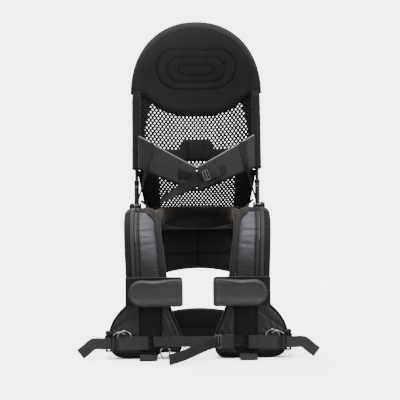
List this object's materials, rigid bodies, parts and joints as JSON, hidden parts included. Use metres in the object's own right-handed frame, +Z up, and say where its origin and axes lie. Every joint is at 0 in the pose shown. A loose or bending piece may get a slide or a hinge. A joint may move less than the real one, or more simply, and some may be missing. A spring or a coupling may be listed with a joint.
{
  "type": "shoulder-worn child carrier",
  "caption": "Rigid-framed baby carrier worn on the shoulders: padded yoke, neck-rear seat, folding height-adjustable mesh backrest with headrest, child belt, ankle cuffs and chest strap.",
  "frame": {"origin": "on the floor, at the middle of the part's footprint", "axes": "+Z up, -Y the front, where the wearer's chest strap is, +X the right as seen from the front"},
  "size_m": [0.483, 0.3772, 0.683],
  "materials": {
    "frame_metal": "satin dark powder coat on aluminium tube",
    "bright_metal": "polished steel",
    "black_plastic": "satin moulded acetal or nylon",
    "padding": "black woven and mesh cover over foam",
    "head_fabric": "smooth brushed knit over foam",
    "ripstop": "grey ripstop nylon with a soft sheen",
    "coated_grey": "charcoal coated fabric, smooth and slightly glossy",
    "collar_fabric": "soft brown-grey brushed fabric",
    "mesh_fabric": "black open spacer mesh",
    "webbing": "dark woven polyester webbing"
  },
  "bodies": {
    "yoke": {"side_rail_left": "frame_metal", "side_rail_right": "frame_metal", "upper_cross_tube": "frame_metal", "lower_cross_tube": "frame_metal", "shoulder_pad_left": "ripstop", "shoulder_pad_right": "ripstop", "neck_collar": "collar_fabric", "chest_wing_left": "padding", "chest_wing_right": "padding", "lumbar_pad": "padding", "back_panel": "padding", "seat_shell": "black_plastic", "seat_cushion": "collar_fabric", "fold_bracket_left": "black_plastic", "fold_bracket_right": "black_plastic", "hinge_pin_left": "bright_metal", "hinge_pin_right": "bright_metal", "cuff_base_left": "padding", "cuff_base_right": "padding", "side_anchor_left": "webbing", "side_anchor_right": "webbing", "ladder_slider_left": "black_plastic", "ladder_slider_right": "black_plastic", "side_strap_left": "webbing", "side_strap_right": "webbing", "side_tail_left": "webbing", "side_tail_right": "webbing", "side_ring_left": "bright_metal", "side_ring_right": "bright_metal", "chest_strap": "webbing", "chest_buckle_housing": "black_plastic", "foot_tab_left": "webbing", "foot_tab_right": "webbing"},
    "posts": {"post_tube_left": "frame_metal", "post_tube_right": "frame_metal", "hem_bar": "frame_metal", "mesh_apron": "mesh_fabric", "lifter_strap_left": "webbing", "lifter_strap_right": "webbing"},
    "backrest": {"backrest_hoop": "frame_metal", "headrest_pad": "head_fabric", "side_sleeve_left": "padding", "side_sleeve_right": "padding", "mesh_panel": "mesh_fabric", "belt_back_pad": "padding", "belt_wing_left": "coated_grey", "belt_wing_right": "coated_grey", "belt_buckle_housing": "black_plastic", "belt_strap": "webbing"},
    "belt_tongue": {"belt_buckle_tongue": "black_plastic", "belt_tail": "webbing"},
    "chest_tongue": {"chest_buckle_tongue": "black_plastic", "chest_tail": "webbing"},
    "ankle_flap_left": {"ankle_flap_left": "coated_grey"},
    "ankle_flap_right": {"ankle_flap_right": "coated_grey"},
    "d_ring": {"d_ring": "bright_metal"},
    "height_button_left": {"height_button_left": "bright_metal"},
    "height_button_right": {"height_button_right": "bright_metal"},
    "fold_button_left": {"fold_button_left": "black_plastic"},
    "fold_button_right": {"fold_button_right": "black_plastic"}
  },
  "joints": [
    {"name": "backrest_fold", "type": "hinge", "parent": "yoke", "child": "posts", "pos_m": [0, 0.0888, 0.294], "axis": [1, 0, 0], "range_deg": [0, 70]},
    {"name": "backrest_height", "type": "slide", "parent": "posts", "child": "backrest", "axis": [0, 0.1478, 0.989], "range_m": [-0.02, 0], "deforming": ["mesh_apron", "lifter_strap_left", "lifter_strap_right", "belt_tail"]},
    {"name": "belt_release", "type": "slide", "parent": "backrest", "child": "belt_tongue", "axis": [-0.9397, -0.0506, -0.3383], "range_m": [0, 0.022], "deforming": ["belt_strap"]},
    {"name": "chest_release", "type": "slide", "parent": "yoke", "child": "chest_tongue", "axis": [-1, 0, 0], "range_m": [0, 0.022], "deforming": ["chest_strap"]},
    {"name": "ankle_flap_left_turn", "type": "hinge", "parent": "yoke", "child": "ankle_flap_left", "pos_m": [-0.033, -0.0932, 0.128], "axis": [0, 0, 1], "range_deg": [0, 100]},
    {"name": "ankle_flap_right_turn", "type": "hinge", "parent": "yoke", "child": "ankle_flap_right", "pos_m": [0.033, -0.0932, 0.128], "axis": [0, 0, -1], "range_deg": [0, 100]},
    {"name": "d_ring_swing", "type": "hinge", "parent": "yoke", "child": "d_ring", "pos_m": [-0.0645, -0.0852, 0.0186], "axis": [-1, 0, 0], "range_deg": [0, 80]},
    {"name": "height_button_left_push", "type": "slide", "parent": "posts", "child": "height_button_left", "axis": [0, 0.989, -0.1478], "range_m": [0, 0.002], "stiffness_N_per_m": 500},
    {"name": "fold_button_left_push", "type": "slide", "parent": "yoke", "child": "fold_button_left", "axis": [1, 0, 0], "range_m": [0, 0.0022], "stiffness_N_per_m": 500},
    {"name": "height_button_right_push", "type": "slide", "parent": "posts", "child": "height_button_right", "axis": [0, 0.989, -0.1478], "range_m": [0, 0.002], "stiffness_N_per_m": 500},
    {"name": "fold_button_right_push", "type": "slide", "parent": "yoke", "child": "fold_button_right", "axis": [-1, 0, 0], "range_m": [0, 0.0022], "stiffness_N_per_m": 500}
  ]
}
